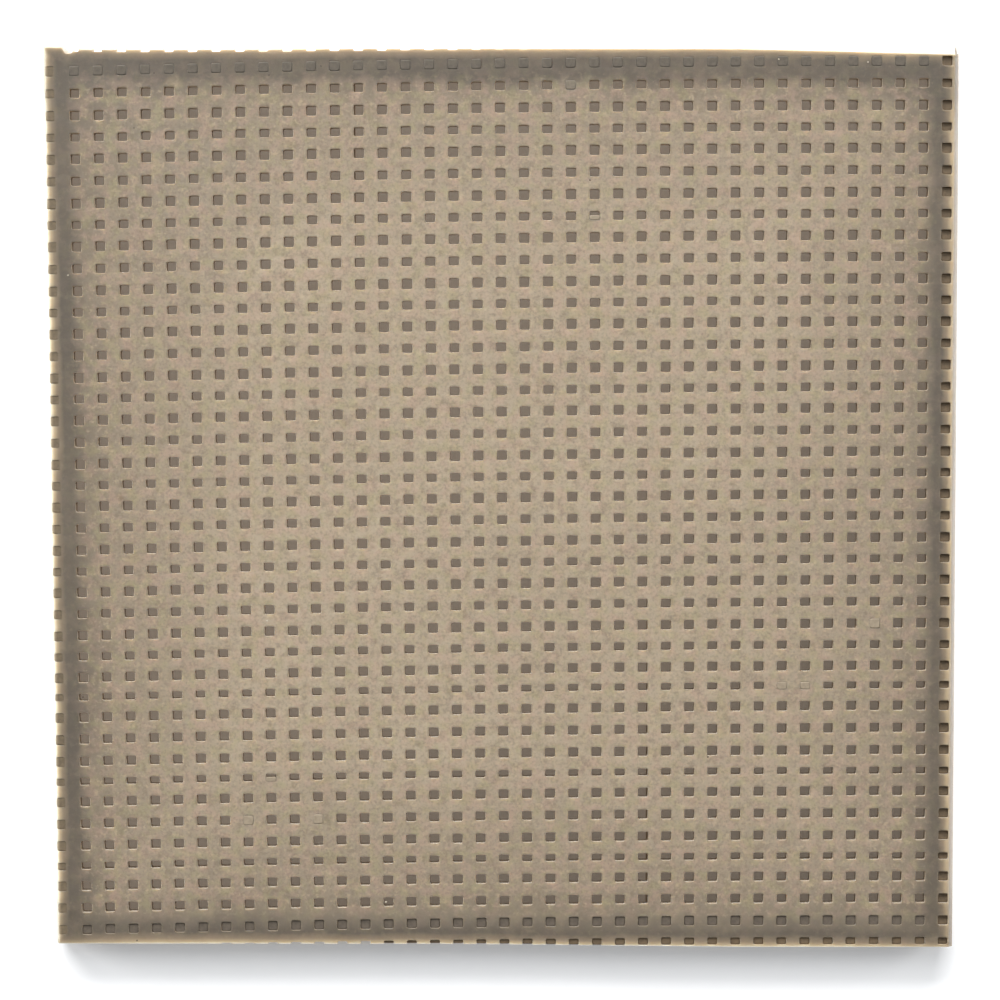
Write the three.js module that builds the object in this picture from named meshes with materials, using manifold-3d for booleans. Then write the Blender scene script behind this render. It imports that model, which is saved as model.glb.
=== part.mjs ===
// Framed queen excluder for a small square beehive. Units are millimetres and +Z is up.
// A perforated sheet lies on a half-lapped wooden frame that keeps one bee space clear below it.
// The frame stands on z = 0, the origin is under the middle of the sheet, and +Y is the back.

import * as THREE from "three";
import { mergeGeometries, mergeVertices } from "three/addons/utils/BufferGeometryUtils.js";
import Module from "manifold-3d";

// Sheet and frame
// The sheet was cut by hand, a little out of square, with slight bends in its front and back edges.
// Its outline runs from the front left corner to the right and round.
const SHEET_OUTLINE = [
  [-174.8, -172.8],
  [-20, -172.9],
  [93, -174.2],
  [176.5, -174.4],
  [175.3, 172.8],
  [133, 174],
  [91, 175],
  [-176.6, 175.7],
];
const SHEET_THICKNESS = 4;
const BEE_SPACE = 8;
const FRAME_WIDTH = 349;
const FRAME_DEPTH = 345;
const RAIL_WIDTH = 6;
const LATH_WIDTH = 4;
const TONGUE_LENGTH = 4;
const JOINT_GAP = 0.1;

// Openings: a lattice of columns and rows. The sheet was cut from wider stock, so the rows climb
// a little from left to right, dip towards both ends and close up towards the front.
const OPENING_WIDTH = 4.3;
const OPENING_HEIGHT = 4;
const COLUMN_PITCH = 9.047;
const ROW_PITCH = 8.305;
const LATTICE_SHIFT_X = -0.31;
const LATTICE_SHIFT_Y = 1.9;
const COLUMN_LEAN = 0.044;
const ROW_CLIMB = 0.131;
const ROW_DIP = 0.0029;
const ROW_CLOSING = 0.0017;
// The openings of column -19 and row 21 run into the edges, so the slots stop one column and row short.
const FIRST_COLUMN = -18;
const LAST_COLUMN = 19;
const LAST_ROW = 20;
// Each slot joins this many openings of one column, and none reaches beyond SLOT_LIMIT from the middle.
const SLOT_ROWS = 3;
const SLOT_LIMIT = 171;
// The two support laths run under the solid bars beyond these columns.
const LATH_COLUMN = 6.5;

// Countersunk wood screws: the long ones hold the sheet from below, the short ones the corner laps
const SCREW_LENGTH = 10;
const CORNER_SCREW_LENGTH = 7;
const SCREW_RADIUS = 0.9;
const SCREW_TIP = 2;
const HEAD_RADIUS = 1.75;
const HEAD_RIM = 0.25;
const HEAD_DEPTH = 1.2;
const HEAD_SINK = 0.2;
const DRIVE_WIDTH = 0.5;
const DRIVE_DEPTH = 0.5;
// Screws stop at any angle, so each drive slot is turned this much further than the last (radians).
const DRIVE_TURN = 2.4;
const SCREW_CLEARANCE = 0.12;
const SIDE_SCREW_ROWS = [-10.5, -0.5, 9.5];
const END_SCREW_COLUMNS = [-12.5, -0.5, 12.5];

// Brads that hold the laths' tongues in the front and back rails
const BRAD_LENGTH = 8;
const BRAD_RADIUS = 0.5;
const BRAD_HEAD_RADIUS = 0.9;
const BRAD_HEAD_THICKNESS = 0.4;
const BRAD_CLEARANCE = 0.12;

const ROUND_SEGMENTS = 12;
const CUT_MARGIN = 1;

// The frame's faces, from the middle of the object
const OUTER_X = FRAME_WIDTH / 2;
const OUTER_Y = FRAME_DEPTH / 2;
const INNER_X = OUTER_X - RAIL_WIDTH;
const INNER_Y = OUTER_Y - RAIL_WIDTH;
const LAP_HEIGHT = BEE_SPACE / 2;

const sheetPlastic = new THREE.MeshStandardMaterial({
  color: 0xb6a68f,
  roughness: 0.62,
  metalness: 0,
});
const pineWood = new THREE.MeshStandardMaterial({
  color: 0xbf9763,
  roughness: 0.78,
  metalness: 0,
});
const zincSteel = new THREE.MeshStandardMaterial({
  color: 0x9b9c9a,
  roughness: 0.42,
  metalness: 0.9,
});

const wasm = await Module();
wasm.setup();

// A closed geometry as a manifold-3d solid.
function toSolid(geometry) {
  const bare = geometry.clone();
  bare.deleteAttribute("normal");
  bare.deleteAttribute("uv");
  const merged = mergeVertices(bare);
  return new wasm.Manifold(
    new wasm.Mesh({
      numProp: 3,
      vertProperties: new Float32Array(merged.attributes.position.array),
      triVerts: new Uint32Array(merged.index.array),
    }),
  );
}

function toGeometry(solid) {
  const mesh = solid.getMesh();
  const geometry = new THREE.BufferGeometry();
  geometry.setAttribute("position", new THREE.BufferAttribute(mesh.vertProperties, 3));
  geometry.setIndex(new THREE.BufferAttribute(mesh.triVerts, 1));
  geometry.computeVertexNormals();
  return geometry;
}

// The body's geometry with every cutter taken out of it.
function carve(geometry, cutters) {
  let solid = toSolid(geometry);
  for (const cutter of cutters) {
    solid = solid.subtract(toSolid(cutter));
  }
  return toGeometry(solid);
}

// A box between two corners, each [x, y, z].
function boxBetween(low, high) {
  const size = high.map((value, axis) => value - low[axis]);
  const box = new THREE.BoxGeometry(...size);
  return box.translate(...high.map((value, axis) => (value + low[axis]) / 2));
}

// The same box, with its corners given in either order along X and Y.
function orderedBox([x0, y0, z0], [x1, y1, z1]) {
  return boxBetween([Math.min(x0, x1), Math.min(y0, y1), z0], [Math.max(x0, x1), Math.max(y0, y1), z1]);
}

// A turned solid along +Z from a profile of [radius, height] pairs.
function turned(profile) {
  const points = profile.map(([radius, height]) => new THREE.Vector2(radius, height));
  return new THREE.LatheGeometry(points, ROUND_SEGMENTS).rotateX(Math.PI / 2);
}

function addMesh(group, name, geometry, material) {
  const mesh = new THREE.Mesh(geometry, material);
  mesh.name = name;
  group.add(mesh);
  return mesh;
}

// The lattice: the place of column i and row j, with row 0 in the middle and rows counted to the front.
function latticeX(column, row) {
  return LATTICE_SHIFT_X + COLUMN_PITCH * column + COLUMN_LEAN * row;
}

function latticeY(column, row) {
  const bend = ROW_CLIMB * column - ROW_DIP * column * column + ROW_CLOSING * row * row;
  return LATTICE_SHIFT_Y - ROW_PITCH * row + bend;
}

// Screws
function screwProfile(length, grow) {
  return [
    [0, 0],
    [HEAD_RADIUS + grow, 0],
    [HEAD_RADIUS + grow, HEAD_RIM],
    [SCREW_RADIUS + grow, HEAD_DEPTH + grow],
    [SCREW_RADIUS + grow, length - SCREW_TIP],
    [0, length + grow],
  ];
}

// Sheet screws stand under the solid bars between openings, midway across the rails.
function screwPlaces() {
  const middleX = OUTER_X - RAIL_WIDTH / 2;
  const middleY = OUTER_Y - RAIL_WIDTH / 2;
  const places = [];
  for (const [side, x] of [["left", -1], ["right", 1]]) {
    for (const [end, y] of [["front", -1], ["back", 1]]) {
      const name = `screw_${end}_${side}_corner`;
      places.push({ name, x: x * middleX, y: y * middleY, length: CORNER_SCREW_LENGTH });
    }
    SIDE_SCREW_ROWS.forEach((row, index) => {
      const y = latticeY(x * LAST_COLUMN, row);
      places.push({ name: `screw_${side}_rail_${index + 1}`, x: x * middleX, y, length: SCREW_LENGTH });
    });
  }
  for (const [end, y] of [["front", -1], ["back", 1]]) {
    END_SCREW_COLUMNS.forEach((column, index) => {
      const x = latticeX(column, -y * LAST_ROW);
      places.push({ name: `screw_${end}_rail_${index + 1}`, x, y: y * middleY, length: SCREW_LENGTH });
    });
  }
  return places;
}

// The hole that a screw sits in: countersunk in the rail, and blind at its far end.
function screwHole(place) {
  const profile = screwProfile(place.length, SCREW_CLEARANCE);
  const hole = turned([[0, -CUT_MARGIN], [profile[1][0], -CUT_MARGIN], ...profile.slice(2)]);
  return hole.translate(place.x, place.y, HEAD_SINK);
}

function buildScrew(group, place, index) {
  const drive = boxBetween(
    [-HEAD_RADIUS - CUT_MARGIN, -DRIVE_WIDTH / 2, -CUT_MARGIN],
    [HEAD_RADIUS + CUT_MARGIN, DRIVE_WIDTH / 2, DRIVE_DEPTH],
  );
  drive.rotateZ(index * DRIVE_TURN);
  const blank = turned(screwProfile(place.length, 0));
  const screw = addMesh(group, place.name, carve(blank, [drive]), zincSteel);
  screw.position.set(place.x, place.y, HEAD_SINK);
}

// Brads, one at each end of each lath, driven inwards through the rail
function bradProfile(grow) {
  return [
    [0, 0],
    [BRAD_HEAD_RADIUS + grow, 0],
    [BRAD_HEAD_RADIUS + grow, BRAD_HEAD_THICKNESS + grow],
    [BRAD_RADIUS + grow, BRAD_HEAD_THICKNESS + grow],
    [BRAD_RADIUS + grow, BRAD_LENGTH - BRAD_RADIUS],
    [0, BRAD_LENGTH + grow],
  ];
}

function bradPlaces() {
  const places = [];
  for (const [side, column] of [["left", -LATH_COLUMN], ["right", LATH_COLUMN]]) {
    for (const [end, y] of [["front", -1], ["back", 1]]) {
      places.push({ name: `brad_${end}_${side}`, x: latticeX(column, 0), y: y * OUTER_Y, facing: y });
    }
  }
  return places;
}

// A solid turned along +Z, laid down so that it points inwards from a brad's place.
function layBrad(geometry, place) {
  geometry.rotateX((place.facing * Math.PI) / 2);
  return geometry.translate(place.x, place.y, BEE_SPACE - LAP_HEIGHT / 2);
}

function bradHole(place) {
  const profile = bradProfile(BRAD_CLEARANCE);
  const hole = turned([[0, -CUT_MARGIN], [profile[1][0], -CUT_MARGIN], ...profile.slice(2)]);
  return layBrad(hole, place);
}

// Sheet
// A cutter for the openings of one column from firstRow to lastRow.
function slotCutter(column, firstRow, lastRow) {
  const halfWidth = OPENING_WIDTH / 2;
  const halfHeight = OPENING_HEIGHT / 2;
  const top = Math.min(latticeY(column, firstRow) + halfHeight, SLOT_LIMIT);
  const bottom = Math.max(latticeY(column, lastRow) - halfHeight, -SLOT_LIMIT);
  const topX = latticeX(column, firstRow);
  const bottomX = latticeX(column, lastRow);
  const slot = new THREE.Shape([
    new THREE.Vector2(topX - halfWidth, top),
    new THREE.Vector2(bottomX - halfWidth, bottom),
    new THREE.Vector2(bottomX + halfWidth, bottom),
    new THREE.Vector2(topX + halfWidth, top),
  ]);
  const depth = SHEET_THICKNESS + 2 * CUT_MARGIN;
  const cutter = new THREE.ExtrudeGeometry(slot, { depth, bevelEnabled: false });
  return cutter.translate(0, 0, BEE_SPACE - CUT_MARGIN);
}

function buildSheet(group) {
  const slots = [];
  for (let column = FIRST_COLUMN; column <= LAST_COLUMN; column += 1) {
    for (let row = -LAST_ROW; row <= LAST_ROW; row += SLOT_ROWS) {
      slots.push(slotCutter(column, row, Math.min(row + SLOT_ROWS - 1, LAST_ROW)));
    }
  }
  const outline = new THREE.Shape(SHEET_OUTLINE.map(([x, y]) => new THREE.Vector2(x, y)));
  const plate = new THREE.ExtrudeGeometry(outline, { depth: SHEET_THICKNESS, bevelEnabled: false });
  plate.translate(0, 0, BEE_SPACE);
  const cutters = [mergeGeometries(slots), ...screwPlaces().map(screwHole)];
  addMesh(group, "excluder_sheet", carve(plate, cutters), sheetPlastic);
}

// Frame: the front and back rails carry the upper half of each corner lap, the side rails the lower.
function housing(place) {
  const half = LATH_WIDTH / 2 + JOINT_GAP;
  return orderedBox(
    [place.x - half, place.facing * (INNER_Y - CUT_MARGIN), LAP_HEIGHT - JOINT_GAP],
    [place.x + half, place.facing * (INNER_Y + TONGUE_LENGTH + JOINT_GAP), BEE_SPACE + CUT_MARGIN],
  );
}

function buildEndRail(group, name, facing) {
  const rail = orderedBox([-OUTER_X, facing * INNER_Y, 0], [OUTER_X, facing * OUTER_Y, BEE_SPACE]);
  const laps = [-1, 1].map((side) => orderedBox(
    [side * (INNER_X - JOINT_GAP), facing * (INNER_Y - CUT_MARGIN), -CUT_MARGIN],
    [side * (OUTER_X + CUT_MARGIN), facing * (OUTER_Y + CUT_MARGIN), LAP_HEIGHT],
  ));
  const brads = bradPlaces().filter((place) => place.facing === facing);
  const holes = [...screwPlaces().map(screwHole), ...brads.map(housing), ...brads.map(bradHole)];
  addMesh(group, name, carve(rail, [...laps, ...holes]), pineWood);
}

function buildSideRail(group, name, facing) {
  const rail = orderedBox([facing * INNER_X, -OUTER_Y, 0], [facing * OUTER_X, OUTER_Y, BEE_SPACE]);
  const laps = [-1, 1].map((end) => orderedBox(
    [facing * (INNER_X - CUT_MARGIN), end * (INNER_Y - JOINT_GAP), LAP_HEIGHT],
    [facing * (OUTER_X + CUT_MARGIN), end * (OUTER_Y + CUT_MARGIN), BEE_SPACE + CUT_MARGIN],
  ));
  addMesh(group, name, carve(rail, [...laps, ...screwPlaces().map(screwHole)]), pineWood);
}

// A lath lies under one solid bar of the sheet, with a tongue at each end let into the rail.
function buildLath(group, name, column) {
  const x = latticeX(column, 0);
  const half = LATH_WIDTH / 2;
  const tip = INNER_Y + TONGUE_LENGTH;
  const lath = boxBetween([x - half, -tip, 0], [x + half, tip, BEE_SPACE]);
  const shoulders = [-1, 1].map((end) => orderedBox(
    [x - half - CUT_MARGIN, end * (INNER_Y - JOINT_GAP), -CUT_MARGIN],
    [x + half + CUT_MARGIN, end * (tip + CUT_MARGIN), LAP_HEIGHT],
  ));
  addMesh(group, name, carve(lath, [...shoulders, ...bradPlaces().map(bradHole)]), pineWood);
}

const frame = new THREE.Group();
buildEndRail(frame, "front_rail", -1);
buildEndRail(frame, "back_rail", 1);
buildSideRail(frame, "left_rail", -1);
buildSideRail(frame, "right_rail", 1);
buildLath(frame, "left_support_lath", -LATH_COLUMN);
buildLath(frame, "right_support_lath", LATH_COLUMN);

const fasteners = new THREE.Group();
screwPlaces().forEach((place, index) => buildScrew(fasteners, place, index));
for (const place of bradPlaces()) {
  addMesh(fasteners, place.name, layBrad(turned(bradProfile(0)), place), zincSteel);
}

const excluder = new THREE.Group();
buildSheet(excluder);
excluder.add(frame, fasteners);

export default excluder;
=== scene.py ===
# Looks of a framed queen excluder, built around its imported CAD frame. The scene is in metres and +Y is
# the back. The perforated sheet is worked out in millimetres, as its maker would, and scaled when made.

import math
import random

import bmesh
import bpy
import numpy as np
from mathutils import Matrix, Vector, noise


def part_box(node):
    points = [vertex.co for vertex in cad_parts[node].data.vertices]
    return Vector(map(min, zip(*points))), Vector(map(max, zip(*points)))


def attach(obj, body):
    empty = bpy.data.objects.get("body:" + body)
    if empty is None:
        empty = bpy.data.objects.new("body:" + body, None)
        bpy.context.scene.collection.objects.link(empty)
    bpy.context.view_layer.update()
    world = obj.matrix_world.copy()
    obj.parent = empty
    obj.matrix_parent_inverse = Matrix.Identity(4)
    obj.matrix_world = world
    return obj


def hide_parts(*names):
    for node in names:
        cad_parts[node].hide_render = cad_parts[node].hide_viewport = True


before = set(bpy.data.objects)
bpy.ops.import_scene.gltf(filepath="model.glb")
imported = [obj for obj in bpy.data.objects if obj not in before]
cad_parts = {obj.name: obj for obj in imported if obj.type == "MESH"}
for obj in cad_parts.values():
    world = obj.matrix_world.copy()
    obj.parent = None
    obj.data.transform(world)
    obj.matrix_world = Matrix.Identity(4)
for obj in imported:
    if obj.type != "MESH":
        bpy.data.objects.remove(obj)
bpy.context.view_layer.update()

MM = 0.001
# How much the frame's edges are rounded (mm)
FRAME_BEVEL = 0.25
ROOT = "root"
SHEET_NODE = "excluder_sheet"
LATHS = ["left_support_lath", "right_support_lath"]
SIDE_RAILS = ["left_rail", "right_rail"]
END_RAILS = ["front_rail", "back_rail"]
SHEET_LOW, SHEET_HIGH = (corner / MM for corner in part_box(SHEET_NODE))
SHEET_BOTTOM = SHEET_LOW.z
SHEET_TOP = SHEET_HIGH.z
# The visual sheet's top face: how far below the CAD's it stays, how uneven it is, and how closely
TOP_CLEARANCE = 0.04
TOP_UNEVENNESS = 0.11
TOP_WAVES = 0.035

# The sheet's edges, cut by hand: where each runs, as [place along it, distance out from the middle].
LEFT_EDGE = [[-172.8, -174.7], [175.6, -176.5]]
RIGHT_EDGE = [[-174.4, 176.4], [172.8, 175.2]]
FRONT_EDGE = [[-175, -173.1], [-20, -173.2], [93, -174.3], [176.5, -174.35]]
BACK_EDGE = [
    [-168.9, 175.6],
    [-168.3, 173.4],
    [-164.6, 173.4],
    [-164.2, 174.8],
    [-100, 174.8],
    [-40, 175.2],
    [91, 175],
    [133, 174],
    [175.4, 172.8],
]
# How far the cut face of each edge slopes out below the top face.
EDGE_SLOPES = {"left": 1.4, "right": 2.2, "front": 0.6, "back": 1.0}

# Openings: columns count from the left and rows from the back, with 0 in the middle of the sheet.
COLUMNS = range(-20, 21)
ROWS = range(-22, 23)
# The lattice (mm): where its middle opening is, its pitches, and how its columns close up and lean
LATTICE_X, LATTICE_Y = -0.15, 1.89
COLUMN_PITCH = 9.038
ROW_PITCH = 8.33
COLUMN_CLOSING = 0.0013
COLUMN_LEAN = 0.044
# How its rows climb to the right, less so far from the middle, and dip at both ends
ROW_CLIMB = 0.145
CLIMB_FADING = 0.0001
ROW_DIP = 0.0029
# The openings' width and rounded corners, and their height: in even rows, and in odd rows by turns,
# before LATE_ROW and from it on
OPENING_WIDTH = 3.9
OPENING_CORNER = 0.55
EVEN_HEIGHT = 3.8
EARLY_ODD_HEIGHTS = (3.45, 3.25)
LATE_ODD_HEIGHTS = (2.85, 3.75)
# How far an opening may be out of place, and out of size
PLACE_SPREAD = 0.035
SIZE_SPREAD = 0.03
# The worn rim round each opening: how wide it is and how far it sinks
RIM_WIDTH = 0.45
RIM_DROP = 0.07
OPENING_DRAFT = 0.08
# How much the sheet is darkened, by dirt and by painted shade, at the openings' rims, at the foot of
# their walls and on its underside
RIM_DIRT_AND_SHADE = 0.7
WALL_DIRT_AND_SHADE = 0.9
UNDERSIDE_DIRT_AND_SHADE = 0.35
# The row that the back edge cuts through, which is out of step, and the first row of another rhythm
BACK_ROW = -21
BACK_ROW_Y = 175.65
BACK_ROW_DIP = -0.0026
LATE_ROW = 9
LATE_SHIFT = 0.84
EARLY_RHYTHM, LATE_RHYTHM = 0.105, -0.30
# The outermost rows and columns of openings lie over the rails and hold propolis, its tone partly
# painted shade, which stays this far (mm) inside the left and front edges.
LEFT_COLUMN, RIGHT_COLUMN = -19, 19
REAR_ROW, FRONT_ROW = -20, 21
LEFT_WALL = 1.3
FRONT_WALL = 0.75
# The left column stands this much further out, and its openings are narrower by as much.
LEFT_SHIFT = 0.45
# Places in the lattice that were never punched, as (column, row)
UNPUNCHED = [(-19, -21), (-20, -21)]

# Openings that the bees have closed with wax, as (column, row, share filled)
WAXED = [
    (-8, 15, 1.0),
    (-11, 15, 1.0),
    (12, 9, 1.0),
    (13, 9, 1.0),
    (3, -19, 1.0),
    (16, 6, 1.0),
    (4, -13, 0.55),
    (-10, 13, 0.6),
]
# The gap between a plug and its walls, how far the wax ones sink below the face, and how lumpy the
# ends of a plug are, across and upwards
PLUG_GAP = 0.02
WAX_SINK = 0.10
LUMP_SHARE = 0.01
LUMP_RISE = 0.04

# Torn slivers, as start, end, width, thickness and bend: beside the notches in the back edge at the
# left, and along the cut face at the back right corner
WHISKERS = [
    ((-162.2, 173.9, 11.2), (-162.5, 175.6, 11.5), 0.34, 0.25, 0.05),
    ((-153.4, 173.4, 11.3), (-153.3, 175.6, 11.7), 0.36, 0.25, -0.06),
    ((-144.0, 173.9, 11.2), (-144.2, 175.5, 11.4), 0.34, 0.22, 0.05),
]
CORNER_BURR = [((173.9, 171.2, 10.2), (173.7, 175.1, 11.0), 1.3, 0.5, -0.25)]
SLIVER_STEPS = 6
SLIVER_SIDES = 8
# Crumbs stuck to the face, as x, y and width
DARK_CRUMBS = [
    (33.5, 124.2, 0.7),
    (79.9, -98.9, 0.8),
    (-163.1, -75.5, 0.7),
    (-69.5, 167.6, 0.6),
    (-89.4, 164.2, 0.6),
    (-133.4, 165, 0.6),
    (-141.3, 144.1, 0.6),
    (-142.9, -171.3, 0.7),
]
PALE_CRUMBS = [
    (-91.4, -45.8, 0.8),
    (-167.2, 87.9, 0.7),
    (-45.5, -156.1, 0.8),
    (105.7, 170.2, 0.7),
    (139.8, 169.1, 0.7),
]
CRUMB_SIDES = 9

# Camera: a 90 mm lens almost straight above, a little behind the middle
CAMERA_PLACE = Vector((0.0010, 0.05975, 0.9769))
CAMERA_TARGET = Vector((-0.00098, 0.00123, 0.012))
CAMERA_LENS = 90.0
SENSOR_WIDTH = 36.0

# Light: how bright a white level surface comes out, so that a colour can be given as it is seen
LIGHT_LEVEL = 1.52
WORLD_STRENGTH = 0.30
# The soft boxes, as name, place and size (m), and energy (W)
SOFTBOXES = [
    ("low_softbox", (-0.8, 4.5, 2.1), (5.6, 2.3), 565),
    ("high_softbox", (0.2, 3.1, 3.9), (3.0, 2.5), 50),
    ("left_softbox", (-4.6, 1.5, 1.4), (2.0, 1.8), 165),
    ("right_softbox", (4.3, 1.6, 1.8), (2.0, 2.0), 115),
]
# Half the floor's width (m), and the gap that keeps it off the underside (mm)
FLOOR_HALF = 6.0
FLOOR_GAP = 0.1


# ---------------------------------------------------------------- materials


def linear(value):
    """One sRGB channel from 0 to 255 as linear light."""
    share = value / 255
    return share / 12.92 if share <= 0.04045 else ((share + 0.055) / 1.055) ** 2.4


def paint(red, green, blue):
    """The base colour that looks like this sRGB colour under the scene's light."""
    return (*(min(1.0, linear(channel) / LIGHT_LEVEL) for channel in (red, green, blue)), 1.0)


class Finish:
    """A Principled material and short ways to add nodes to it."""

    def __init__(self, name, roughness=0.6, metallic=0.0):
        self.material = bpy.data.materials.new(name)
        self.material.use_nodes = True
        self.tree = self.material.node_tree
        self.shader = self.tree.nodes["Principled BSDF"]
        self.shader.inputs["Roughness"].default_value = roughness
        self.shader.inputs["Metallic"].default_value = metallic
        self.place = self.node("ShaderNodeTexCoord").outputs["Object"]

    def node(self, kind, **settings):
        made = self.tree.nodes.new(kind)
        for key, value in settings.items():
            setattr(made, key, value)
        return made

    def put(self, socket, value):
        if isinstance(value, bpy.types.NodeSocket):
            self.tree.links.new(value, socket)
        else:
            socket.default_value = value

    def set(self, name, value):
        self.put(self.shader.inputs[name], value)

    def math(self, operation, *values):
        made = self.node("ShaderNodeMath", operation=operation)
        for socket, value in zip(made.inputs, values):
            self.put(socket, value)
        return made.outputs[0]

    def attribute(self, name):
        return self.node("ShaderNodeAttribute", attribute_name=name).outputs["Fac"]

    def span(self, value, low, high, to_low=0.0, to_high=1.0):
        """value from low to high, spread smoothly from to_low to to_high."""
        made = self.node("ShaderNodeMapRange", interpolation_type="SMOOTHSTEP")
        names = ("Value", "From Min", "From Max", "To Min", "To Max")
        for name, number in zip(names, (value, low, high, to_low, to_high)):
            self.put(made.inputs[name], number)
        return made.outputs["Result"]

    def scaled(self, x, y, z):
        """The object's coordinates, stretched by a factor along each axis."""
        made = self.node("ShaderNodeVectorMath", operation="MULTIPLY")
        self.put(made.inputs[0], self.place)
        made.inputs[1].default_value = (x, y, z)
        return made.outputs[0]

    def reach(self, x, y):
        """How far a point is (m) from the place x, y (mm)."""
        made = self.node("ShaderNodeVectorMath", operation="DISTANCE")
        self.put(made.inputs[0], self.scaled(1, 1, 0))
        made.inputs[1].default_value = (x * MM, y * MM, 0)
        return made.outputs["Value"]

    def noise(self, scale, detail=3.0, rough=0.55, place=None):
        made = self.node("ShaderNodeTexNoise")
        self.put(made.inputs["Vector"], place or self.place)
        made.inputs["Scale"].default_value = scale
        made.inputs["Detail"].default_value = detail
        made.inputs["Roughness"].default_value = rough
        return made.outputs["Fac"]

    def mix(self, factor, first, second):
        made = self.node("ShaderNodeMix", data_type="RGBA")
        for index, value in ((0, factor), (6, first), (7, second)):
            self.put(made.inputs[index], value)
        return made.outputs[2]

    def ramp(self, factor, stops, reach=1.0):
        """A colour for each factor from 0 to reach, from (place, colour) stops."""
        made = self.node("ShaderNodeValToRGB")
        self.put(made.inputs[0], self.math("DIVIDE", factor, reach))
        points = made.color_ramp.elements
        while len(points) < len(stops):
            points.new(1.0)
        for point, (place, tone) in zip(points, stops):
            point.position = place / reach
            point.color = tone
        return made.outputs["Color"]

    def bump(self, height, distance, strength=1.0, under=None):
        made = self.node("ShaderNodeBump")
        made.inputs["Strength"].default_value = strength
        made.inputs["Distance"].default_value = distance
        self.put(made.inputs["Height"], height)
        if under is not None:
            self.put(made.inputs["Normal"], under)
        return made.outputs["Normal"]


# The sheet's tones from its cut rim inwards: tan, then brown, as the painted glow of the cut face fades;
# a dark ring of painted shade; and slowly back to the plain colour
INWARD_GLOW_AND_SHADE = [
    paint(205, 184, 148),
    paint(150, 133, 110),
    paint(103, 94, 82),
    paint(103, 94, 82),
    paint(143, 130, 112),
    paint(165, 150, 129),
    paint(190, 174, 150),
]
# For each edge: its cut face's colour from below and at its rim, painted light as each face catches the
# side light and glows (palest at the left, dimmest at the right), how far in (mm) the rim reaches, and
# where each inward tone lies.
EDGE_GLOW_AND_SHADE = {
    "left": ((0.90, 0.83, 0.68, 1), (0.84, 0.76, 0.60, 1), 1.2, [2.5, 3.7, 6.0, 9.8, 16.5, 27, 80]),
    "right": ((0.46, 0.42, 0.38, 1), (0.33, 0.29, 0.24, 1), 1.9, [3.1, 4.5, 6.6, 9.2, 15, 24, 80]),
    "front": ((0.66, 0.60, 0.48, 1), (0.62, 0.56, 0.44, 1), 0.7, [1.1, 2.6, 5.0, 6.0, 13, 24, 80]),
    "back": ((0.66, 0.60, 0.50, 1), (0.58, 0.52, 0.43, 1), 0.5, [1.2, 2.5, 5.0, 11.5, 16, 22, 80]),
}
# How far in the tones are read (mm), and how gradually one edge's tones give way to another's
EDGE_REACH = 90.0
EDGE_BLEND = 2.0
# Stains on the face, as (x, y, radius (mm), strength, colour)
STAINS = [
    (-128, 126, 62, 0.26, paint(112, 106, 98)),
    (-158, 156, 30, 0.42, paint(104, 98, 90)),
    (163, 157, 18, 0.40, paint(92, 86, 76)),
    (-166, -163, 12, 0.35, paint(90, 82, 68)),
    (166, -160, 14, 0.30, paint(92, 84, 70)),
    (114, -73, 3.0, 0.50, paint(128, 112, 92)),
    (146, -48, 2.6, 0.45, paint(132, 116, 96)),
    (-69, -123, 3.4, 0.45, paint(130, 114, 94)),
    (68, -94, 2.4, 0.45, paint(128, 112, 92)),
    (-148, 2, 2.4, 0.55, paint(120, 96, 66)),
    (-119, -123, 2.0, 0.50, paint(124, 98, 66)),
]


def edge_glow_and_shade(finish, side, waver):
    """The sheet's colour by its distance from one edge, with its painted glow and painted shade, and
    that distance in mm.
    """
    distance = finish.attribute(f"from_{side}")
    outer, glowing_rim, rim_end, inward = EDGE_GLOW_AND_SHADE[side]
    stops = [(rim_end / 3, outer), (rim_end, glowing_rim), *zip(inward, INWARD_GLOW_AND_SHADE)]
    return finish.ramp(finish.math("MULTIPLY", distance, waver), stops, EDGE_REACH), distance


def nearer(finish, first, second):
    """Of two (colour, distance) pairs, the colour of the nearer edge, and the lesser distance."""
    lead = finish.math("SUBTRACT", first[1], second[1])
    share = finish.span(lead, -EDGE_BLEND, EDGE_BLEND)
    return finish.mix(share, first[0], second[0]), finish.math("MINIMUM", first[1], second[1])


# Blotches on the sheet: noise scale, its low and high limits, strength and colour
BLOTCHES = [
    (190, 0.44, 0.64, 0.40, paint(198, 166, 148)),
    (170, 0.46, 0.66, 0.42, paint(174, 167, 122)),
    (300, 0.48, 0.70, 0.42, paint(138, 122, 104)),
    (420, 0.52, 0.72, 0.42, paint(214, 194, 160)),
    (900, 0.42, 0.68, 0.34, paint(122, 108, 90)),
]


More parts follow.
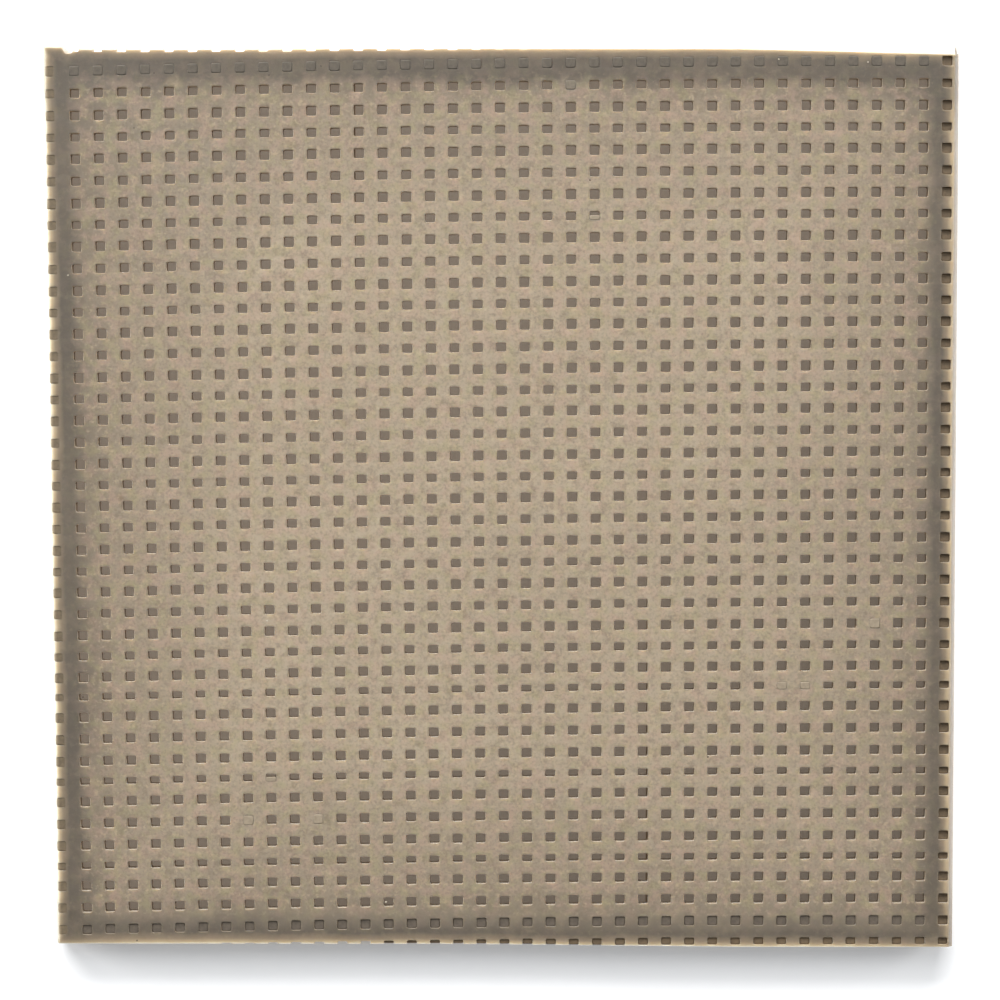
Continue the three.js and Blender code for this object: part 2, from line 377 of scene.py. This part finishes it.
def sheet_finish():
    """Tan plastic, used: a cream painted glow at the cut rim, a dark ring of painted shade inside it,
    and faint blotches.
    """
    finish = Finish("sheet_plastic", roughness=0.58)
    waver = finish.span(finish.noise(55, 3, 0.6), 0.25, 0.75, 0.88, 1.14)
    left, right, front, back = (edge_glow_and_shade(finish, side, waver) for side in EDGE_GLOW_AND_SHADE)
    across = nearer(finish, left, right)
    along = nearer(finish, front, back)
    tone, _ = nearer(finish, across, along)
    # corners: painted shade, darker still where two edges meet
    corner = finish.math("MAXIMUM", across[1], along[1])
    tone = finish.mix(finish.span(corner, 3, 34, 0.34, 0.0), tone, paint(92, 84, 72))
    for x, y, radius, strength, stain in STAINS:
        ragged = finish.math("MULTIPLY", finish.noise(120, 3, 0.6), radius * MM)
        reach = finish.math("ADD", finish.reach(x, y), ragged)
        share = finish.span(reach, 0.6 * radius * MM, 1.5 * radius * MM, strength, 0.0)
        tone = finish.mix(share, tone, stain)
    # blotches, first wide and then fine; the dark ring of painted shade hides most of the fine ones
    inside = finish.math("MINIMUM", across[1], along[1])
    open_field = finish.span(inside, 8, 19, 0.15, 1.0)
    wide = finish.span(finish.noise(14, 2, 0.5), 0.3, 0.7)
    tone = finish.mix(finish.math("MULTIPLY", wide, 0.16), tone, paint(150, 134, 112))
    for scale, low, high, strength, stain in BLOTCHES:
        patch = finish.span(finish.noise(scale, 3, 0.62), low, high, 0.0, strength)
        tone = finish.mix(finish.math("MULTIPLY", patch, open_field), tone, stain)
    # the openings' rims and the foot of their walls are darkened with dirt and painted shade; their
    # steep walls are painted paler, a painted glow for the light that the thin plastic lets through
    dirt_and_shade = finish.math("MULTIPLY", finish.attribute("dirt_and_shade"), finish.span(inside, 1.5, 4.5, 0.1, 1.0))
    tone = finish.mix(dirt_and_shade, tone, paint(120, 107, 88))
    facing = finish.node("ShaderNodeSeparateXYZ")
    finish.put(facing.inputs[0], finish.node("ShaderNodeNewGeometry").outputs["Normal"])
    steep = finish.span(finish.math("ABSOLUTE", facing.outputs["Z"]), 0.25, 0.6, 1.0, 0.0)
    wall_glow = finish.math("MULTIPLY", steep, finish.span(inside, 1.5, 3.5))
    tone = finish.mix(finish.math("MULTIPLY", wall_glow, 0.9), tone, (0.36, 0.30, 0.23, 1))
    finish.set("Base Color", tone)
    finish.set("Roughness", finish.span(finish.noise(160, 3, 0.6), 0.3, 0.7, 0.56, 0.74))
    finish.set("Subsurface Weight", 0.6)
    finish.set("Subsurface Radius", (1.0, 0.8, 0.6))
    finish.set("Subsurface Scale", 0.005)
    scuffs = finish.noise(700, 3, 0.65, finish.scaled(1, 0.35, 1))
    grain = finish.bump(finish.noise(1600, 2, 0.6), 0.00004)
    finish.set("Normal", finish.bump(scuffs, 0.00006, 0.8, grain))
    return finish.material


def wood_finish(name, axis, stain=1.0):
    """Pine with its grain along one axis, and propolis stain near the face that carries the sheet."""
    finish = Finish(name, roughness=0.72)
    along = [1.0, 1.0, 1.0]
    along[axis] = 0.045
    # growth rings, seen as long bands on the faces
    rings = finish.node(
        "ShaderNodeTexWave", wave_type="BANDS", bands_direction="DIAGONAL", wave_profile="SAW"
    )
    finish.put(rings.inputs["Vector"], finish.scaled(*along))
    rings.inputs["Scale"].default_value = 95
    rings.inputs["Distortion"].default_value = 5.5
    rings.inputs["Detail"].default_value = 2.5
    rings.inputs["Detail Scale"].default_value = 1.4
    fibres = finish.noise(1500, 3, 0.6, finish.scaled(*along))
    light, dark = (0.68, 0.56, 0.40, 1), (0.50, 0.37, 0.23, 1)
    tone = finish.mix(finish.span(rings.outputs["Fac"], 0.35, 1.0), light, dark)
    fine = finish.math("MULTIPLY", finish.span(fibres, 0.35, 0.7), 0.35)
    tone = finish.mix(fine, tone, (0.38, 0.27, 0.16, 1))
    wear = finish.span(finish.noise(28, 4, 0.65), 0.35, 0.72)
    tone = finish.mix(finish.math("MULTIPLY", wear, 0.32), tone, (0.24, 0.17, 0.11, 1))
    height = finish.node("ShaderNodeSeparateXYZ")
    finish.put(height.inputs[0], finish.place)
    ragged = finish.math("MULTIPLY", finish.noise(220, 3, 0.6), 0.0022)
    seep = finish.math("ADD", height.outputs["Z"], ragged)
    stained = finish.span(seep, 0.0072, 0.0092, 0.0, 0.86 * stain)
    tone = finish.mix(stained, tone, (0.50, 0.43, 0.33, 1))
    finish.set("Base Color", tone)
    finish.set("Roughness", finish.span(fibres, 0.3, 0.7, 0.62, 0.82))
    ridges = finish.bump(rings.outputs["Fac"], 0.00008, 0.7)
    finish.set("Normal", finish.bump(fibres, 0.00006, 0.8, ridges))
    return finish.material


def zinc_finish():
    """Zinc-plated steel, dulled, with dirt in blotches."""
    finish = Finish("zinc_steel", roughness=0.4, metallic=1.0)
    cloud = finish.noise(900, 3, 0.6)
    tone = finish.mix(finish.span(cloud, 0.3, 0.7), (0.52, 0.53, 0.52, 1), (0.33, 0.32, 0.29, 1))
    finish.set("Base Color", tone)
    finish.set("Roughness", finish.span(cloud, 0.3, 0.7, 0.32, 0.55))
    finish.set("Normal", finish.bump(finish.noise(3500, 2, 0.6), 0.00002))
    return finish.material


def wax_finish(name, tone, dark, edge_glow=False):
    """Wax, propolis or torn plastic: clouded, and with the edge flag painted paler near the sheet's left
    edge, a painted glow from the lit cut face.
    """
    finish = Finish(name, roughness=0.65)
    cloud = finish.noise(600, 3, 0.6)
    clouded = finish.mix(finish.span(cloud, 0.3, 0.75), tone, dark)
    if edge_glow:
        glow_share = finish.span(finish.attribute("from_left"), 0.6, 2.6, 0.9, 0.0)
        clouded = finish.mix(glow_share, clouded, paint(214, 194, 160))
    finish.set("Base Color", clouded)
    finish.set("Normal", finish.bump(finish.noise(1400, 3, 0.6), 0.00008))
    return finish.material


# ---------------------------------------------------------------- the perforated sheet


def row_place(row):
    """How far back a row stands in the middle of the sheet (mm)."""
    if row == BACK_ROW:
        return BACK_ROW_Y
    late = row >= LATE_ROW
    rhythm = (LATE_RHYTHM if late else EARLY_RHYTHM) * math.cos(row * math.pi / 2)
    return LATTICE_Y - ROW_PITCH * row + rhythm + (LATE_SHIFT if late else 0.0)


def opening_place(column, row):
    """The middle of an opening (mm). The rows climb to the right and dip at both ends."""
    x = LATTICE_X + COLUMN_PITCH * column - COLUMN_CLOSING * column**2 + COLUMN_LEAN * row
    if column == LEFT_COLUMN:
        x -= LEFT_SHIFT
    climb = ROW_CLIMB - CLIMB_FADING * row**2
    dip = BACK_ROW_DIP if row == BACK_ROW else ROW_DIP
    return Vector((x, row_place(row) + climb * column - dip * column**2))


def opening_height(row):
    """How tall the openings of a row are. Even rows are the tallest, and odd rows differ by turns."""
    if row % 2 == 0:
        return EVEN_HEIGHT
    heights = LATE_ODD_HEIGHTS if row >= LATE_ROW else EARLY_ODD_HEIGHTS
    return heights[row % 4 // 2]


def corner_place(column, row):
    """Where four cells meet: in front of and to the right of this column and row's opening."""
    around = [opening_place(c, r) for c in (column, column + 1) for r in (row, row + 1)]
    return sum(around, Vector((0, 0))) / 4


def top_height(x, y):
    """The top face, hardly uneven, so that it isn't a perfect mirror plane."""
    uneven = 0.5 + 0.5 * noise.noise(Vector((x, y, 0)) * TOP_WAVES)
    return SHEET_TOP - TOP_CLEARANCE - TOP_UNEVENNESS * uneven


def rounded_ring(centre, half_width, half_height, radius):
    """Twelve points counter-clockwise round an opening, three at each rounded corner."""
    cut = radius * (1 - math.sqrt(0.5))
    ring = []
    for turn, (sx, sy) in enumerate(((1, 1), (-1, 1), (-1, -1), (1, -1))):
        corner = [
            Vector((sx * half_width, sy * (half_height - radius))),
            Vector((sx * (half_width - cut), sy * (half_height - cut))),
            Vector((sx * (half_width - radius), sy * half_height)),
        ]
        ring += corner if turn % 2 == 0 else corner[::-1]
    return [centre + point for point in ring]


class Stock:
    """The wide perforated stock that the sheet is cut from, as a bmesh in mm."""

    # Where the border vertices next to a cell's corner stand, as a share of the way to the next corner
    FRACTION = 0.26
    SEED = 7

    def __init__(self):
        self.mesh = bmesh.new()
        # per vertex: darkening by dirt and painted shade round the openings
        self.dirt_and_shade = self.mesh.verts.layers.float.new("dirt_and_shade")
        self.shared = {}
        self.random = random.Random(self.SEED)

    def vertex(self, place, z, dirt_and_shade):
        made = self.mesh.verts.new((place.x, place.y, z))
        made[self.dirt_and_shade] = dirt_and_shade
        return made

    def frame_vertex(self, key, place, top):
        """A vertex on the border between cells, shared by the cells that meet there."""
        if (key, top) not in self.shared:
            z = top_height(place.x, place.y) if top else SHEET_BOTTOM
            self.shared[key, top] = self.vertex(place, z, 0.0 if top else UNDERSIDE_DIRT_AND_SHADE)
        return self.shared[key, top]

    def cell_frame(self, column, row, top):
        """Twelve border vertices of a cell, matching the twelve points round its opening."""
        right_back = corner_place(column, row - 1)
        left_back = corner_place(column - 1, row - 1)
        left_front = corner_place(column - 1, row)
        right_front = corner_place(column, row)
        near, far = self.FRACTION, 1 - self.FRACTION

        def side(kind, c, r, start, end, share):
            return self.frame_vertex((kind, c, r, share), start.lerp(end, share), top)

        return [
            side("v", column, row, right_front, right_back, far),
            self.frame_vertex(("c", column, row - 1), right_back, top),
            side("h", column, row - 1, left_back, right_back, far),
            side("h", column, row - 1, left_back, right_back, near),
            self.frame_vertex(("c", column - 1, row - 1), left_back, top),
            side("v", column - 1, row, left_front, left_back, far),
            side("v", column - 1, row, left_front, left_back, near),
            self.frame_vertex(("c", column - 1, row), left_front, top),
            side("h", column, row, left_front, right_front, near),
            side("h", column, row, left_front, right_front, far),
            self.frame_vertex(("c", column, row), right_front, top),
            side("v", column, row, right_front, right_back, near),
        ]

    def rim_ring(self, centre, half, grow, drop, dirt_and_shade):
        points = rounded_ring(centre, half.x + grow, half.y + grow, OPENING_CORNER + grow)
        return [self.vertex(point, top_height(point.x, point.y) - drop, dirt_and_shade) for point in points]

    def wall_ring(self, centre, half, shrink, z, dirt_and_shade):
        points = rounded_ring(centre, half.x - shrink, half.y - shrink, OPENING_CORNER)
        return [self.vertex(point, z, dirt_and_shade) for point in points]

    def add_closed_cell(self, column, row):
        for top in (True, False):
            self.mesh.faces.new(self.cell_frame(column, row, top)[:: 1 if top else -1])

    def add_cell(self, column, row):
        shift = Vector((self.random.gauss(0, PLACE_SPREAD), self.random.gauss(0, PLACE_SPREAD)))
        centre = opening_place(column, row) + shift
        size = Vector((OPENING_WIDTH, opening_height(row)))
        spread = Vector((self.random.gauss(0, SIZE_SPREAD), self.random.gauss(0, SIZE_SPREAD)))
        half = size / 2 + spread
        if column == LEFT_COLUMN:
            half.x -= LEFT_SHIFT / 2
        filled = row == REAR_ROW or (column, row, 1.0) in WAXED
        rings = [
            self.cell_frame(column, row, True),
            self.rim_ring(centre, half, RIM_WIDTH, 0, 0.0),
            self.rim_ring(centre, half, 0, RIM_DROP, 0.0 if filled else RIM_DIRT_AND_SHADE),
            self.wall_ring(centre, half, OPENING_DRAFT, SHEET_BOTTOM, WALL_DIRT_AND_SHADE),
            self.cell_frame(column, row, False),
        ]
        for outer, inner in zip(rings, rings[1:]):
            for k in range(len(outer)):
                after = (k + 1) % len(outer)
                self.mesh.faces.new((outer[k], outer[after], inner[after], inner[k]))

    def close_sides(self):
        """Joins the top and bottom faces round the outside, so that every later cut is closed."""
        below = {vertex: self.shared[key, False] for (key, top), vertex in self.shared.items() if top}
        for edge in [e for e in self.mesh.edges if e.is_boundary]:
            first, second = edge.verts
            if first in below and second in below:
                self.mesh.faces.new((first, second, below[second], below[first]))


EDGES = {
    "left": (0, -1, LEFT_EDGE),
    "right": (0, 1, RIGHT_EDGE),
    "front": (1, -1, FRONT_EDGE),
    "back": (1, 1, BACK_EDGE),
}


def edge_at(line, place):
    """How far out an edge runs at a place along it."""
    return np.interp(place, *zip(*line))


def cut_edge(mesh, side):
    """Cuts the stock along one edge. The mesh is straightened along the edge, cut, and bent back."""
    axis, way, line = EDGES[side]
    for vertex in mesh.verts:
        vertex.co[axis] -= edge_at(line, vertex.co[1 - axis])
    normal = Vector((0, 0, EDGE_SLOPES[side] / (SHEET_TOP - SHEET_BOTTOM)))
    normal[axis] = way
    everything = [*mesh.verts, *mesh.edges, *mesh.faces]
    cut = bmesh.ops.bisect_plane(
        mesh,
        geom=everything,
        plane_co=(0, 0, SHEET_BOTTOM),
        plane_no=normal,
        clear_outer=True,
        dist=1e-4,
    )
    open_edges = [e for e in cut["geom_cut"] if isinstance(e, bmesh.types.BMEdge) and e.is_boundary]
    filled = bmesh.ops.holes_fill(mesh, edges=open_edges, sides=0)["faces"]
    bmesh.ops.triangulate(mesh, faces=filled)
    for vertex in mesh.verts:
        vertex.co[axis] += edge_at(line, vertex.co[1 - axis])


def finish_object(name, mesh, material, smooth_angle=40):
    """A bmesh in mm as an object of the scene that rides on the root body."""
    data = bpy.data.meshes.new(name)
    bmesh.ops.scale(mesh, vec=(MM, MM, MM), verts=mesh.verts)
    mesh.to_mesh(data)
    mesh.free()
    data.materials.append(material)
    data.polygons.foreach_set("use_smooth", [True] * len(data.polygons))
    data.set_sharp_from_angle(angle=math.radians(smooth_angle))
    made = bpy.data.objects.new(name, data)
    bpy.context.scene.collection.objects.link(made)
    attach(made, ROOT)
    return made


def store_edge_distances(data):
    """The distance of each vertex from each edge (mm), which the sheet's material reads."""
    places = np.zeros(len(data.vertices) * 3)
    data.vertices.foreach_get("co", places)
    places = places.reshape(-1, 3) / MM
    for side, (axis, way, line) in EDGES.items():
        distance = way * (edge_at(line, places[:, 1 - axis]) - places[:, axis])
        attribute = data.attributes.new(f"from_{side}", "FLOAT", "POINT")
        attribute.data.foreach_set("value", distance.astype(np.float32))


def build_sheet(material):
    stock = Stock()
    for column in COLUMNS:
        for row in ROWS:
            if (column, row) in UNPUNCHED:
                stock.add_closed_cell(column, row)
            else:
                stock.add_cell(column, row)
    stock.close_sides()
    bmesh.ops.recalc_face_normals(stock.mesh, faces=stock.mesh.faces)
    for side in ("back", "front", "left", "right"):
        cut_edge(stock.mesh, side)
    bmesh.ops.recalc_face_normals(stock.mesh, faces=stock.mesh.faces)
    sheet = finish_object("perforated_sheet", stock.mesh, material)
    store_edge_distances(sheet.data)
    weighted = sheet.modifiers.new("weighted_normals", "WEIGHTED_NORMAL")
    weighted.keep_sharp = True
    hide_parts(SHEET_NODE)
    return sheet


# ---------------------------------------------------------------- wax and propolis in openings


def add_plug(mesh, centre, half, sink):
    """A lump that fills an opening, sunk below the face, with an uneven top."""
    top = SHEET_TOP - sink
    # height (mm) and share of the opening that is filled there, from below
    levels = [
        (SHEET_BOTTOM + 0.5, 0.55),
        (SHEET_BOTTOM + 0.9, 0.92),
        (top - 0.8, 1.0),
        (top - 0.20, 1.0),
        (top - 0.03, 0.97),
        (top, 0.80),
        (top - 0.04, 0.40),
    ]
    rings = []
    for z, grow in levels:
        corner = min(OPENING_CORNER, half.y / 2) * grow
        points = rounded_ring(centre, half.x * grow, half.y * grow, corner)
        # only the levels that leave the walls are lumpy
        lumpy = grow < 1
        ring = []
        for point in points:
            lump = noise.noise(Vector((point.x, point.y, z)) * 0.8)
            shallow = 1 - LUMP_SHARE * (1 + lump) * lumpy
            place = centre + (point - centre) * shallow
            ring.append(mesh.verts.new((*place, z + LUMP_RISE * lump * lumpy)))
        rings.append(ring)
    for lower, upper in zip(rings, rings[1:]):
        for k in range(len(lower)):
            after = (k + 1) % len(lower)
            mesh.faces.new((lower[k], lower[after], upper[after], upper[k]))
    mesh.faces.new(rings[0][::-1])
    mesh.faces.new(rings[-1])


def opening_half(row):
    """Half the size of an opening's inside, less the gap that keeps a plug off its walls (mm)."""
    return Vector((OPENING_WIDTH, opening_height(row))) / 2 - Vector((PLUG_GAP, PLUG_GAP))


def build_wax(column, row, share, material):
    """Wax that closes an opening, or the front share of it."""
    mesh = bmesh.new()
    half = opening_half(row)
    centre = opening_place(column, row) - Vector((0, half.y * (1 - share)))
    add_plug(mesh, centre, Vector((half.x, half.y * share)), WAX_SINK)
    name = f"wax_plug_{column - COLUMNS.start}_{row - ROWS.start}"
    return finish_object(name, mesh, material, smooth_angle=75)


def build_propolis(name, places, material, sink):
    """Propolis in the openings that lie over a rail or beside it, kept inside the sheet's edges; its
    tone is partly painted shade.
    """
    mesh = bmesh.new()
    for column, row in places:
        centre = opening_place(column, row)
        half = opening_half(row)
        low = Vector((
            max(centre.x - half.x, edge_at(LEFT_EDGE, centre.y) + LEFT_WALL),
            max(centre.y - half.y, edge_at(FRONT_EDGE, centre.x) + FRONT_WALL),
        ))
        high = centre + half
        if high.y - low.y > 1.0:
            add_plug(mesh, (low + high) / 2, (high - low) / 2, sink)
    lumps = finish_object(name, mesh, material, smooth_angle=75)
    store_edge_distances(lumps.data)


# ---------------------------------------------------------------- slivers and crumbs


def add_sliver(mesh, start, end, width, thickness, bend):
    """A torn strip of plastic that bends and tapers towards its end."""
    ahead = (end - start).normalized()
    aside = ahead.cross(Vector((0, 0, 1))).normalized()
    up = aside.cross(ahead)
    rings = []
    for step in range(SLIVER_STEPS + 1):
        t = step / SLIVER_STEPS
        middle = start.lerp(end, t) + aside * bend * math.sin(2.4 * t)
        # a little more than 1, so that the tip isn't quite a point
        taper = math.sqrt(1.04 - t)
        ring = []
        for turn in range(SLIVER_SIDES):
            angle = math.tau * (turn + 0.5) / SLIVER_SIDES
            across = aside * (math.cos(angle) * width / 2 * taper)
            rise = up * (math.sin(angle) * thickness / 2 * taper)
            ring.append(mesh.verts.new(middle + across + rise))
        rings.append(ring)
    for first, second in zip(rings, rings[1:]):
        for k in range(SLIVER_SIDES):
            after = (k + 1) % SLIVER_SIDES
            mesh.faces.new((first[k], first[after], second[after], second[k]))
    mesh.faces.new(rings[0][::-1])
    mesh.faces.new(rings[-1])


def build_slivers(name, slivers, material):
    mesh = bmesh.new()
    for start, end, width, thickness, bend in slivers:
        add_sliver(mesh, Vector(start), Vector(end), width, thickness, bend)
    bmesh.ops.recalc_face_normals(mesh, faces=mesh.faces)
    return finish_object(name, mesh, material, smooth_angle=60)


def build_crumbs(name, crumbs, material):
    """Small flat crumbs of wax and dirt, each stuck to the face at x, y and so many mm wide."""
    mesh = bmesh.new()
    rng = random.Random(name)
    for x, y, width in crumbs:
        low = top_height(x, y) - 0.02
        outline = []
        for turn in range(CRUMB_SIDES):
            angle = math.tau * (turn + rng.uniform(-0.3, 0.3)) / CRUMB_SIDES
            radius = width / 2 * rng.uniform(0.7, 1.1)
            outline.append((math.cos(angle) * radius, math.sin(angle) * radius))
        rings = []
        for z, grow in ((low, 1.0), (low + 0.03, 0.95), (low + 0.05, 0.55)):
            rings.append([mesh.verts.new((x + u * grow, y + v * grow, z)) for u, v in outline])
        for first, second in zip(rings, rings[1:]):
            for k in range(CRUMB_SIDES):
                after = (k + 1) % CRUMB_SIDES
                mesh.faces.new((first[k], first[after], second[after], second[k]))
        mesh.faces.new(rings[0][::-1])
        mesh.faces.new(rings[-1])
    return finish_object(name, mesh, material, smooth_angle=60)


# ---------------------------------------------------------------- frame and fasteners


def soften(piece, width):
    """Rounds a CAD piece's edges a little with modifiers, which leave its own mesh as it is."""
    weld = piece.modifiers.new("weld", "WELD")
    weld.merge_threshold = 0.01 * MM
    bevel = piece.modifiers.new("soft_edges", "BEVEL")
    bevel.width = width
    bevel.segments = 2
    bevel.limit_method = "ANGLE"
    bevel.angle_limit = math.radians(40)
    bevel.harden_normals = True


def wear(piece, material, slot):
    piece.data.materials.clear()
    piece.data.materials.append(material)


def dress_frame():
    crosswise = wood_finish("rail_wood_across", axis=0)
    lengthwise = wood_finish("rail_wood_along", axis=1)
    lath_wood = wood_finish("lath_wood", axis=1, stain=0.8)
    for names, material, slot in (
        (END_RAILS, crosswise, "rail_wood"),
        (SIDE_RAILS, lengthwise, "rail_wood"),
        (LATHS, lath_wood, "lath_wood"),
    ):
        for name in names:
            wear(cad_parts[name], material, slot)
            soften(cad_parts[name], FRAME_BEVEL * MM)
    steel = zinc_finish()
    for name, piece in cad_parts.items():
        if name.startswith(("screw", "brad")):
            wear(piece, steel, "zinc_steel")


# ---------------------------------------------------------------- camera, light and floor


def add_camera():
    data = bpy.data.cameras.new("camera")
    data.lens = CAMERA_LENS
    data.sensor_width = SENSOR_WIDTH
    data.clip_start = 0.01
    data.clip_end = 50
    camera = bpy.data.objects.new("camera", data)
    ahead = (CAMERA_TARGET - CAMERA_PLACE).normalized()
    right = ahead.cross(Vector((0, 1, 0))).normalized()
    turn = Matrix((right, right.cross(ahead), -ahead)).transposed()
    camera.matrix_world = Matrix.Translation(CAMERA_PLACE) @ turn.to_4x4()
    bpy.context.scene.collection.objects.link(camera)
    bpy.context.scene.camera = camera


def add_light(name, place, size, energy):
    """A soft box that faces the object."""
    data = bpy.data.lights.new(name, "AREA")
    data.shape = "RECTANGLE"
    data.size, data.size_y = size
    data.energy = energy
    light = bpy.data.objects.new(name, data)
    light.location = place
    light.rotation_euler = (-Vector(place)).to_track_quat("-Z", "Y").to_euler()
    bpy.context.scene.collection.objects.link(light)


def add_floor():
    mesh = bpy.data.meshes.new("floor")
    half = FLOOR_HALF
    corners = [(-half, -half, 0), (half, -half, 0), (half, half, 0), (-half, half, 0)]
    mesh.from_pydata(corners, [], [(0, 1, 2, 3)])
    floor = bpy.data.objects.new("floor", mesh)
    floor.location.z = -FLOOR_GAP * MM
    finish = Finish("floor", roughness=0.9)
    finish.set("Base Color", (0.9, 0.9, 0.9, 1))
    # painted light: the floor glows, warm under the sheet for the light that would come through it and
    # less at the front right, and cool outside it, which lightens the cast shadow in front
    place = finish.node("ShaderNodeSeparateXYZ")
    finish.put(place.inputs[0], finish.scaled(1, 1, 1))
    x, y = place.outputs["X"], place.outputs["Y"]
    beside = finish.math("MAXIMUM", finish.math("ABSOLUTE", x), finish.math("ABSOLUTE", y))
    under = finish.span(beside, 0.1735, 0.1765, 1.0, 0.0)
    bright = finish.span(finish.math("SUBTRACT", y, x), -0.26, 0.12)
    glow = finish.mix(bright, (0.108, 0.089, 0.071, 1), (0.155, 0.127, 0.101, 1))
    finish.set("Emission Color", finish.mix(under, (0.138, 0.152, 0.170, 1), glow))
    finish.set("Emission Strength", 1.0)
    mesh.materials.append(finish.material)
    bpy.context.scene.collection.objects.link(floor)


def add_world(strength):
    world = bpy.data.worlds.new("studio")
    world.use_nodes = True
    background = world.node_tree.nodes["Background"]
    background.inputs["Color"].default_value = (1, 1, 1, 1)
    background.inputs["Strength"].default_value = strength
    bpy.context.scene.world = world


bpy.context.scene.view_settings.view_transform = "Standard"
add_camera()
add_world(WORLD_STRENGTH)
for name, place, size, energy in SOFTBOXES:
    add_light(name, place, size, energy)
add_floor()

dress_frame()
build_sheet(sheet_finish())
pale_wax = wax_finish("pale_wax", paint(170, 155, 132), paint(154, 139, 117))
grime_and_shade_wax = wax_finish("grime_and_shade_wax", paint(134, 123, 106), paint(120, 110, 94))
# wax in the row beside the back edge's dark ring is a darker copy, dirt and painted shade together
for column, row, share in WAXED:
    build_wax(column, row, share, grime_and_shade_wax if row == REAR_ROW + 1 else pale_wax)
torn_plastic = wax_finish("torn_plastic", paint(172, 160, 146), paint(120, 110, 98))
build_slivers("whiskers", WHISKERS, torn_plastic)
pale_plastic = wax_finish("pale_plastic", paint(226, 214, 200), paint(196, 184, 168))
build_slivers("corner_burr", CORNER_BURR, pale_plastic)
old_propolis = wax_finish("old_propolis", paint(84, 72, 58), paint(60, 50, 40))
build_crumbs("dark_crumbs", DARK_CRUMBS, old_propolis)
fresh_wax = wax_finish("fresh_wax", paint(222, 212, 192), paint(196, 182, 156))
build_crumbs("pale_crumbs", PALE_CRUMBS, fresh_wax)
inner_columns = range(LEFT_COLUMN + 1, RIGHT_COLUMN)
all_rows = range(REAR_ROW, FRONT_ROW + 1)
# Propolis in the openings that lie over a rail or beside it, each side's tone partly painted shade:
# openings, tone, how far sunk (mm)
PROPOLIS_AND_SHADE_FILLINGS = {
    "left": ([(LEFT_COLUMN, row) for row in all_rows], paint(126, 110, 86), 0.30),
    "right": ([(RIGHT_COLUMN, row) for row in all_rows], paint(122, 104, 80), 1.0),
    "front": ([(column, FRONT_ROW) for column in inner_columns], paint(120, 101, 76), 0.6),
    "front_inner": ([(column, FRONT_ROW - 1) for column in inner_columns], paint(108, 97, 84), 0.5),
    "back": ([(column, REAR_ROW) for column in inner_columns], paint(106, 97, 84), 0.10),
}
for name, (places, tone, sink) in PROPOLIS_AND_SHADE_FILLINGS.items():
    dark = tuple(channel * 0.72 for channel in tone[:3])
    propolis = wax_finish(f"propolis_{name}", tone, (*dark, 1), edge_glow=(name == "left"))
    build_propolis(f"propolis_{name}", places, propolis, sink)
